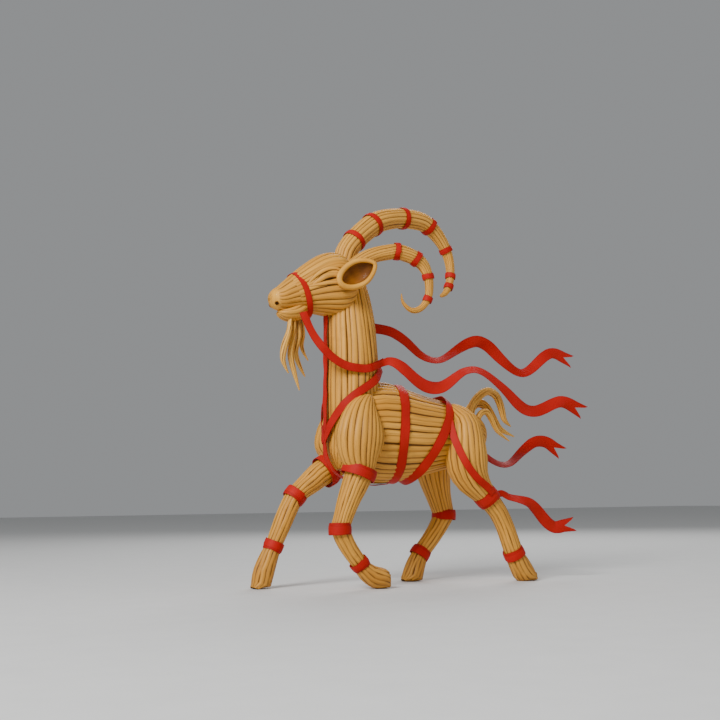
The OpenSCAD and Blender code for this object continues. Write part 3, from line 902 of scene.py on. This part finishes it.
# %% Eyelids
lids = []
for left in (True, False):
    for places, degrees, half_width in (
        ((0.36, 0.45, 0.55, 0.65, 0.75), (13, 23, 28, 25, 13), 2.5 * MM),
        ((0.40, 0.48, 0.56, 0.64, 0.72), (7, 12, 15, 12, 4), 3.1 * MM),
        ((0.36, 0.46, 0.56, 0.66, 0.77), (7, 3, 1, -2, -5), 2.4 * MM),
    ):
        tone = chance.uniform(0.4, 0.8)
        lids.append(arched_straw(places, np.radians(degrees), half_width, left, 0.9 * MM, tone))
join_copies("eyelid_straws", lids, [straw], "goat")

# %% Nostrils
nostrils = []
for left in (True, False):
    towards = unit(np.array([-0.52, -0.68 if left else 0.68, -0.55]))
    point, out = nose_middle + nose_size * towards, unit(towards / nose_size)
    across = unit(np.cross(out, (0, 0, 1)))
    rows = np.array([point - out * 4 * MM, point + out * 0.5 * MM])
    for size, lift, finish in ((2.0 * MM, 0, 0), (1.5 * MM, 0.2 * MM, 1)):
        wide, tall = across * size, np.cross(out, across) * size
        wides, talls = np.array([wide, wide]), np.array([tall, tall])
        nostrils.append(bend(straw_shapes[7], rows + out * lift, wides, talls, metal=finish))
join_copies("nostril_straws", nostrils, [straw, straw_heart], "goat")

# %% [markdown]
# ## Horns, beard and tail
# The horns are long bundles of thin, pale straw with a slight twist. The beard and tail are locks of
# loose straw, a few strands each, that come together in a point.

# %% Horns
bundle("horn_right", FORWARD, 3.9 * MM, 44, horn_straw, twist=0.12, wander=0.1, domes=(False, True))
bundle("horn_left", FORWARD, 3.4 * MM, 44, horn_straw, twist=-0.12, wander=0.1, domes=(True, False))

# %% Beard and tail
bundle("beard", UP, 2.6 * MM, 24, loose_straw, "loose_straw", wander=0.2, twist=0.2)
bundle("tail", FORWARD, 2.5 * MM, 24, loose_straw, "loose_straw", wander=0.15, twist=0.15)

# %% [markdown]
# ## Ears
# An ear is a sheath of straw rolled into a cup. A ball is the quickest start: it is cut open by a
# plane, drawn out to a leaf and given a wall. A roll of husk, bent round the opening, makes the rim.


# %% Where an ear sits
def main_ways(points, middle):
    """Three directions: the points spread most along the first and least along the last."""
    return np.linalg.svd(points - middle, full_matrices=False)[2]


def ear_place(node):
    """Middle, the three ways (width, opening, length) and the reach along each."""
    points = joined_copy(node)[0]
    middle = (points.max(0) + points.min(0)) / 2
    longest = main_ways(points, middle)[0]
    length_way = longest * np.sign(longest[0])
    outwards = np.array([-0.35, -1.0 if node.endswith("left") else 1.0, -0.05])
    open_way = square_to(length_way, outwards)
    width_way = np.cross(open_way, length_way)
    reach = [np.abs((points - middle) @ way).max() for way in (width_way, open_way, length_way)]
    return middle, np.array([width_way, open_way, length_way]), np.array(reach)


def leaf(points):
    """A round cup's points drawn out to a pointed leaf, whose base stands further out than its tip."""
    x, y, z = points.T
    narrow = 1 - 0.35 * np.clip(z, 0, 1) ** 2
    return np.stack([x * narrow, y + 0.45 * z**2 - 0.5 * z, z], axis=1)


# %% Ears
rim, wall = 3.0 * MM, 1.2 * MM
ear_shift = np.array([0, 8.6, -2.5]) * MM
ear_growth = np.array([-0.5, 1, -1]) * MM


def ear(node):
    """An ear, moved out so that the straws of the cheek leave its opening clear."""
    middle, ways, reach = ear_place(node)
    middle, size = middle + ear_shift @ ways, reach + ear_growth
    cup = husk_ball()
    bpy.ops.object.mode_set(mode="EDIT")
    bpy.ops.mesh.select_all(action="SELECT")
    bpy.ops.mesh.bisect(plane_co=(0, 0, 0), plane_no=(0, 1, 0), clear_outer=True)
    bpy.ops.object.mode_set(mode="OBJECT")
    for vertex in cup.data.vertices:
        shaped = leaf(np.array([vertex.co]))[0] * size
        vertex.co = middle + shaped @ ways
    for finish in (husk, husk_inside):
        cup.data.materials.append(finish)
    wall_maker = cup.modifiers.new("wall", "SOLIDIFY")
    wall_maker.thickness, wall_maker.offset, wall_maker.material_offset = wall, -1, 1
    bpy.ops.object.modifier_apply(modifier="wall")
    smooth_and_mapped(cup, size[2])
    angle = np.linspace(0, 2 * math.pi, 45)[:, None] - math.pi / 2
    outline = leaf(np.concatenate([np.cos(angle), 0 * angle, np.sin(angle)], axis=1)) * size
    route = middle + outline @ ways
    heading = unit(np.roll(route, -1, axis=0) - np.roll(route, 1, axis=0))
    heading[0] = heading[-1] = unit(route[1] - route[-2])
    outward = unit(np.cross(heading, ways[1]))
    thick = rim * (0.85 - 0.15 * np.sin(angle))
    roll = bend(straw_shapes[44], route, np.cross(outward, heading) * thick, outward * thick * 0.9)
    piece = join_copies(node + "_husk", [roll], [husk], None)
    cup.select_set(True)
    bpy.ops.object.join()
    settle(piece, "goat", [node])
    print(node, "reaches", [round(r / MM, 1) for r in reach], "mm across, out and along")


for side in ("left", "right"):
    ear("ear_" + side)

# %% [markdown]
# ## Bindings
# Each bend is held by ribbon wound round and round under tension, one turn half over the last. A
# helix says just that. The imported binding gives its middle, its axis and its size: the axis is the
# direction in which its corners spread least.


# %% Where a binding sits
def loose_parts(points, triangles):
    pairs = [pair for t in triangles for pair in ((t[0], t[1]), (t[1], t[2]))]
    groups = {}
    for corner, root in enumerate(gather(len(points), pairs)):
        groups.setdefault(root, []).append(corner)
    return [points[group] for group in groups.values()]


def binding_place(points):
    """Middle, axis, inner and outer radius, and width."""
    middle = points.mean(0)
    axis = main_ways(points, middle)[2]
    along = (points - middle) @ axis
    radial = np.linalg.norm(points - middle - along[:, None] * axis, axis=1)
    return middle, axis, radial.min(), radial.max(), along.max() - along.min()


# %% Wind a binding
levels_a_turn = 24
wound_half_thick, wave_height = 0.36 * MM, 0.2 * MM


def wound(points, turns, share, lift, fuller):
    """A bent copy of the ribbon, wound in a helix. Its width is a share of the binding's."""
    middle, axis, inner, outer, width = binding_place(points)
    width *= fuller
    levels = levels_a_turn * turns
    half_width, half_thick = width * share / 2, wound_half_thick
    t = np.linspace(0, 1, levels + 1)[:, None]
    angle = t * turns * 2 * math.pi + chance.uniform(0, ROUND)
    first = unit(np.cross(axis, (0.3, 0.2, 1.0)))
    out = first * np.cos(angle) + np.cross(axis, first) * np.sin(angle)
    travel = (width - 2 * half_width) * (t - 0.5)
    wave = wave_height * np.sin(angle * 3 + t * 5)
    low, high = inner + 0.5 * MM + half_thick + lift, outer - half_thick + lift
    centre = middle + axis * (travel + wave) + out * (low + (high - low) * t)
    across = unit(np.cross(out, heading_of(centre))) * half_width
    return bend(ribbon_by_hand(levels), centre, across, out * half_thick, chance.uniform(0, 1))


def ribbon_piece(node, copies, body="goat"):
    """One piece of ribbon, which stands for a node."""
    return join_copies(node + "_ribbon", copies, [ribbon], body, [node])


def binding(node, turns=3, share=0.7, lift=0.3 * MM, fuller=1.0):
    points, triangles, _ = joined_copy(node)
    parts = loose_parts(points, triangles)
    ribbon_piece(node, [wound(part, turns, share, lift, fuller) for part in parts])


for side in ("left", "right"):
    binding("elbow_tie_" + side, lift=1.6 * MM, fuller=1.35)
    for joint in ("knee", "fore_fetlock", "hock", "hind_fetlock"):
        binding(joint + "_tie_" + side, fuller=1.12)
    binding("horn_ties_" + side, turns=2, share=0.8, fuller=1.3)

# %% [markdown]
# ## Harness
# The harness straps are the same ribbon laid double. Each packed strap is a bar with four corners to a
# ring: the shorter side of a ring is the ribbon's thickness and the next its width. Girths and the
# noseband have no end to start from, so their rings are found by their angle round the middle.


# %% Rows of a strap
def ring_gaps(ring):
    """The gaps between a ring's four corners: two thicknesses, two widths and two diagonals."""
    return sorted((a - b for i, a in enumerate(ring) for b in ring[:i]), key=np.linalg.norm)


def strap_rows(rings, inside):
    """Rows of middle, across and outward, turned away from a point inside the goat."""
    middles = np.array([ring.mean(0) for ring in rings])
    heading = heading_of(middles)
    across = np.array([unit(ring_gaps(ring)[2]) for ring in rings])
    for k in range(1, len(across)):
        across[k] *= np.sign(across[k] @ across[k - 1])
    across = square_to(heading, across)
    outward = np.cross(heading, across)
    turned = np.sign(np.sum((middles - inside) * outward))
    return np.concatenate([middles, across * turned, outward * turned], axis=1)


strap_half_thick, ripple_height = 0.42 * MM, 0.25 * MM
ripple_length, roll_length = 17 * MM, 31 * MM


def lay_ribbon(rows, width, levels, lift):
    """A ribbon a little outside the rows, softly rippled and rolled along its length."""
    rows, tone = smooth_rows(rows, levels + 1), chance.uniform(0, 1)
    middle, across, outward = rows[:, :3], unit(rows[:, 3:6]), unit(rows[:, 6:9])
    t = np.linspace(0, 1, levels + 1)[:, None]
    length = steps_of(middle).sum()
    ripples = np.sin(t * length / ripple_length * ROUND + tone * 9) * np.sin(t * math.pi) * ripple_height
    roll = 0.08 * np.sin(t * length / roll_length * ROUND + tone * 5)
    wide = unit(across + outward * roll) * width / 2
    centre, tall = middle + outward * (ripples + lift), outward * strap_half_thick
    return bend(ribbon_by_hand(levels), centre, wide, tall, tone)


# %% Open straps
slack = 1.12
overlap = 0.6
laid = {}


def strap(node, around, lift=0.6 * MM):
    """The ribbon for an open strap, which lies round the middle of another node."""
    points, triangles, normals = joined_copy(node)
    neighbours, ends = neighbours_and_ends(points, triangles, normals)
    end = next(end for end in ends if len(end) == 4)
    rings = [points[ring] for ring in rings_from(neighbours, end)]
    width = np.linalg.norm(ring_gaps(rings[len(rings) // 2])[2]) * slack
    laid[node] = strap_rows(rings, box_middle(around))
    rows = laid[node][[0, *range(len(rings)), -1]]
    rows[0, :3] -= (rows[2, :3] - rows[1, :3]) * overlap
    rows[-1, :3] += (rows[-2, :3] - rows[-3, :3]) * overlap
    ribbon_piece(node, [lay_ribbon(rows, width, 4 * len(rings), lift)])


strap("throat_strap", "neck", 1.3 * MM)
strap("chest_strap", "trunk", 1.3 * MM)
for side in ("left", "right"):
    strap("rein_" + side, "neck")
    strap("breast_strap_" + side, "neck", 1.1 * MM)
    strap("haunch_strap_" + side, "trunk")


# %% Girths and noseband
rings_round = 32
girth_levels = 72


def girth(node, lift=0.6 * MM, hug=0.0, breadth=slack):
    """The ribbon for a girth. Hug draws its upper half in."""
    points = joined_copy(node)[0]
    middle = (points.max(0) + points.min(0)) / 2
    axis = main_ways(points, points.mean(0))[2]
    up = np.cross(axis, (0, 1, 0))
    wide, tall = (points - middle)[:, 1], (points - middle) @ up
    angle = np.arctan2(tall / np.abs(tall).max(), wide / np.abs(wide).max())
    place = np.round(angle / (2 * math.pi) * rings_round).astype(int) % rings_round
    rings = [points[place == k] for k in range(rings_round)]
    bottom = min(range(rings_round), key=lambda k: rings[k].mean(0)[2])
    rings = [rings[(bottom + k) % rings_round] for k in range(rings_round + 2)]
    width = np.linalg.norm(ring_gaps(rings[0])[2]) * breadth
    rows = strap_rows(rings, middle)
    rows[:, :3] -= rows[:, 6:9] * hug * np.clip(rows[:, 8:9], 0, 1)
    ribbon_piece(node, [lay_ribbon(rows, width, girth_levels, lift)])


girth("girth_front")
girth("girth_rear", lift=1.6 * MM)
girth("noseband", hug=3.0 * MM, breadth=0.85)

# %% [markdown]
# ## Streamers
# The free ends stream behind the trotting goat. The ribbon has one width all along. Where it looks
# narrow it has rolled and shows its edge. So each packed streamer is sliced along its run, and the
# height of each slice says how far the ribbon has rolled there. It is gathered at its root, where it
# joins the harness.


# %% Streamers
streamer_width = 11.5 * MM
packed_width = 13 * MM
streamer_thickness = 0.5 * MM
streamer_levels = 96
gathered, opening = 0.55, 40 * MM
tail = 12 * MM
backwards = np.array([1.0, 0, 0])


def squared_off(run, lost=3):
    """The run with its last slices, which the fork spoils, replaced by a straight piece."""
    kept = run[:-lost]
    step = kept[-1][:3] - kept[-3][:3]
    added = [kept[-1].copy() for _ in range(lost)]
    for k, row in enumerate(added):
        row[:3] += step / 2 * (k + 1)
    return np.concatenate([kept, added])


def lead_from(node, root, count=4):
    """The last rows of a strap before a root, a little outside it."""
    rows = laid[node]
    if np.linalg.norm(rows[0, :3] - root) < np.linalg.norm(rows[-1, :3] - root):
        rows = rows[::-1]
    return rows[-count:, :3] + rows[-count:, 6:9] * 1.7 * MM, rows[-count:, 3:6]


def streamer(node, strap_node):
    joint = next(j for j in frame["joints"] if j["child"] == node)
    root = np.array(joint["pos_m"])
    run = sliced_run(node, root + backwards * 1.5 * MM, backwards, 4 * MM, 90)
    rows = smooth_rows(squared_off(run), streamer_levels + 1)
    walked = np.linalg.norm(rows[:, :3] - rows[0, :3], axis=1)
    half = streamer_width / 2 * np.clip(gathered + walked / opening, 0, 1)
    shown = np.clip(rows[:, 10] * streamer_width / packed_width / half, 0.15, 1)
    shown = np.convolve(np.pad(shown, 3, mode="edge"), np.ones(7) / 7, mode="valid")
    roll = np.arccos(np.clip(shown, 0, 1))[:, None]
    centre = rows[:, :3]
    heading = heading_of(centre)
    away = square_to(heading, unit(centre - np.array(camera_place)))
    way = np.cross(heading, away) * np.cos(roll) + away * np.sin(roll)
    if strap_node in laid:
        lead, lead_way = lead_from(strap_node, root)
    else:
        tie_middle = box_middle(strap_node)
        lead = tie_middle + (centre[0] - tie_middle) * np.array([[0.45], [0.75]])
        lead_way = np.repeat(way[:1], 2, axis=0)
    lead_way = lead_way * np.sign(np.sum(lead_way * way[:1], axis=1, keepdims=True))
    centre, way = np.concatenate([lead, centre[1:]]), np.concatenate([lead_way, way[1:]])
    half = np.concatenate([np.full(len(lead), half[0]), half[1:]])
    count = streamer_levels + 1
    centre, way, half = (even_rows(values, centre, count) for values in (centre, way, half[:, None]))
    heading = heading_of(centre)
    wide = square_to(heading, way) * half
    out = unit(np.cross(heading, wide)) * streamer_thickness / 2
    length = steps_of(centre).sum()
    shape = ribbon_by_hand(streamer_levels, 6, tail / length)
    copy = bend(shape, centre, wide, out, chance.uniform(0, 1))
    piece = ribbon_piece(node, [copy], None)
    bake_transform(piece)
    print(node, "is", round(length, 3), "metres of ribbon")


streamer("streamer_neck_left", "rein_left")
streamer("streamer_neck_right", "rein_right")
streamer("streamer_haunch_right", "haunch_strap_right")
streamer("streamer_hock_left", "hock_tie_left")

# %% [markdown]
# ## Wires
# The wires stay as they were packed, deep in the bundles, and only take their finish.

# %% Wires
for name, node in frame["nodes"].items():
    if name.endswith("_wire") or "_wire_" in name:
        node.data.materials.clear()
        node.data.materials.append(drawn_steel)

# %% [markdown]
# ## Floor and light
# A pale floor and broad, soft lamps keep the straw's own colour. The main lamp stands high on the
# left in front, so each bundle turns from light into shade. A weak one lifts the shade, and a third
# lights the goat's far side and its back.


# %% Floor
def floor_finish():
    finish = Finish("pale_floor")
    grain = finish.pattern(finish.place(), (40, 40, 40), 3)
    colour = finish.blend_colours(grain, (0.62, 0.62, 0.61), (0.68, 0.68, 0.67))
    return finish.shade(Base_Color=colour, Roughness=0.8)


select_nothing()
bpy.ops.mesh.primitive_plane_add(size=12)
floor = bpy.context.active_object
floor.name = "floor"
floor.data.materials.append(floor_finish())


# %% Lamps
def lamp(name, place, aim, size, power):
    bpy.ops.object.light_add(type="AREA", location=place)
    light = bpy.context.active_object
    light.name = name
    light.data.size, light.data.energy = size, power
    light.rotation_mode = "QUATERNION"
    light.rotation_quaternion = (Vector(aim) - Vector(place)).to_track_quat("-Z", "Y")


goat_middle = (cad_low + cad_high) / 2
lamp("main_lamp", (-1.3, -0.8, 1.1), goat_middle, 0.6, 36)
lamp("soft_lamp", (0.9, -0.9, 0.5), goat_middle, 0.9, 2.5)
lamp("back_lamp", (0.7, 0.9, 1.0), goat_middle, 0.8, 9)
world = bpy.data.worlds.new("studio")
bpy.context.scene.world = world
world.use_nodes = True
sky = world.node_tree.nodes["Background"]
sky.inputs["Color"].default_value = (0.80, 0.82, 0.84, 1)
sky.inputs["Strength"].default_value = 0.36
